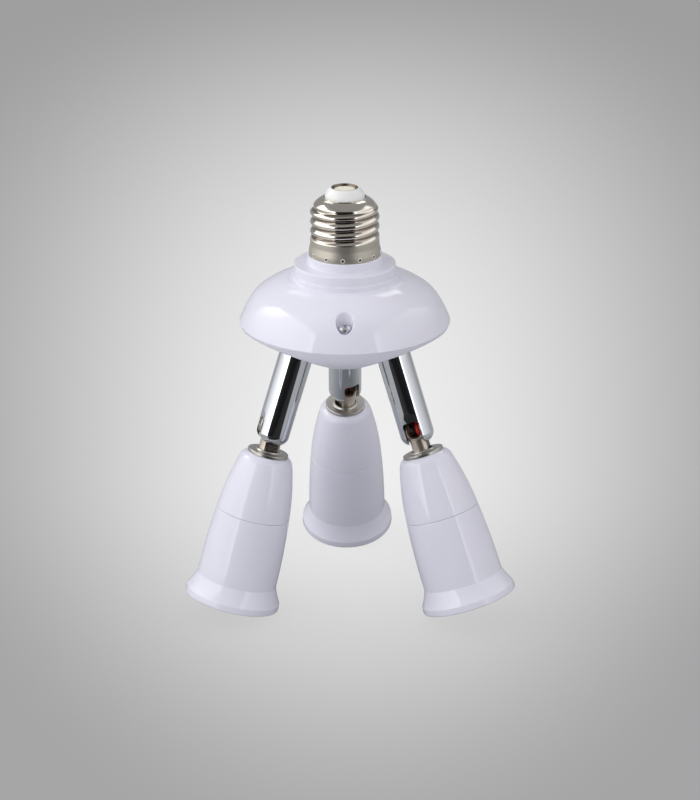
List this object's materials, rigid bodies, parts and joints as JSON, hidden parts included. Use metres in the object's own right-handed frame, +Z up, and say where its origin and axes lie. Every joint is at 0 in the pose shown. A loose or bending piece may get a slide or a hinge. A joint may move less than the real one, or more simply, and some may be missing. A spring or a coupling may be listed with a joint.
{
  "type": "lamp socket adapter",
  "caption": "Lamp socket adapter with a screw cap on a domed housing and chromed tubes that carry bell-mouthed lamp holders on slotted ball swivels.",
  "frame": {"origin": "on the axis of the screw cap, at the foot of its straight threaded wall", "axes": "+Z up the screw cap's axis, so the lamp holders hang below; -Y is the front of the picture"},
  "size_m": [0.1273, 0.1169, 0.1636],
  "materials": {
    "white_plastic": "moulded gloss",
    "white_insulator": "fine satin",
    "nickel_cap": "bright nickel plate",
    "nickel_stud": "satin nickel plate",
    "nickel_shell": "bright nickel plate",
    "chrome_tube": "mirror chrome",
    "zinc_steel": "zinc plate",
    "spring_steel": "oiled spring steel",
    "brass": "plain brass",
    "fibre_board": "pressed fibre",
    "nylon": "natural nylon",
    "black_nylon": "moulded satin",
    "red_wire": "soft insulation",
    "black_wire": "soft insulation",
    "white_wire": "soft insulation"
  },
  "bodies": {
    "base": {"cap_shell": "nickel_cap", "cap_insulator": "white_insulator", "centre_contact": "nickel_cap", "upper_housing": "white_plastic", "lower_cover": "white_plastic", "housing_screws": "zinc_steel", "wire_splices": "nylon", "cap_leads": "white_wire"},
    "left_arm": {"left_arm_tube": "chrome_tube", "left_tube_nipple": "zinc_steel", "left_nipple_nut": "zinc_steel", "left_ball_seat": "black_nylon", "left_cone_spring": "spring_steel", "left_live_wire": "red_wire", "left_neutral_wire": "black_wire"},
    "left_holder": {"left_ball_stud": "nickel_stud", "left_holder_washer": "nickel_stud", "left_stud_nut": "zinc_steel", "left_holder_cap": "white_plastic", "left_holder_sleeve": "white_plastic", "left_contact_base": "fibre_board", "left_screw_shell": "nickel_shell", "left_centre_tongue": "brass", "left_contact_rivets": "brass", "left_holder_leads": "white_wire"},
    "middle_arm": {"middle_arm_tube": "chrome_tube", "middle_tube_nipple": "zinc_steel", "middle_nipple_nut": "zinc_steel", "middle_ball_seat": "black_nylon", "middle_cone_spring": "spring_steel", "middle_live_wire": "red_wire", "middle_neutral_wire": "black_wire"},
    "middle_holder": {"middle_ball_stud": "nickel_stud", "middle_holder_washer": "nickel_stud", "middle_stud_nut": "zinc_steel", "middle_holder_cap": "white_plastic", "middle_holder_sleeve": "white_plastic", "middle_contact_base": "fibre_board", "middle_screw_shell": "nickel_shell", "middle_centre_tongue": "brass", "middle_contact_rivets": "brass", "middle_holder_leads": "white_wire"},
    "right_arm": {"right_arm_tube": "chrome_tube", "right_tube_nipple": "zinc_steel", "right_nipple_nut": "zinc_steel", "right_ball_seat": "black_nylon", "right_cone_spring": "spring_steel", "right_live_wire": "red_wire", "right_neutral_wire": "black_wire"},
    "right_holder": {"right_ball_stud": "nickel_stud", "right_holder_washer": "nickel_stud", "right_stud_nut": "zinc_steel", "right_holder_cap": "white_plastic", "right_holder_sleeve": "white_plastic", "right_contact_base": "fibre_board", "right_screw_shell": "nickel_shell", "right_centre_tongue": "brass", "right_contact_rivets": "brass", "right_holder_leads": "white_wire"}
  },
  "joints": [
    {"name": "left_arm_turn", "type": "hinge", "parent": "base", "child": "left_arm", "pos_m": [-0.02719, -0.0157, -0.06727], "axis": [0.2877, 0.1661, 0.9432], "range_deg": [-223.1, 116.9]},
    {"name": "left_holder_tilt", "type": "hinge", "parent": "left_arm", "child": "left_holder", "pos_m": [-0.02719, -0.0157, -0.06727], "axis": [-0.2409, 0.9657, -0.0966], "range_deg": [-0.8, 93.2]},
    {"name": "middle_arm_turn", "type": "hinge", "parent": "base", "child": "middle_arm", "pos_m": [0, 0.03139, -0.06727], "axis": [0, -0.3322, 0.9432], "range_deg": [-89.4, 250.6]},
    {"name": "middle_holder_tilt", "type": "hinge", "parent": "middle_arm", "child": "middle_holder", "pos_m": [0, 0.03139, -0.06727], "axis": [-0.8712, -0.463, -0.1631], "range_deg": [-6.8, 45.2]},
    {"name": "right_arm_turn", "type": "hinge", "parent": "base", "child": "right_arm", "pos_m": [0.02719, -0.0157, -0.06727], "axis": [-0.2877, 0.1661, 0.9432], "range_deg": [-169, 171]},
    {"name": "right_holder_tilt", "type": "hinge", "parent": "right_arm", "child": "right_holder", "pos_m": [0.02719, -0.0157, -0.06727], "axis": [-0.9351, 0.164, -0.3141], "range_deg": [-6.2, 87.8]}
  ]
}
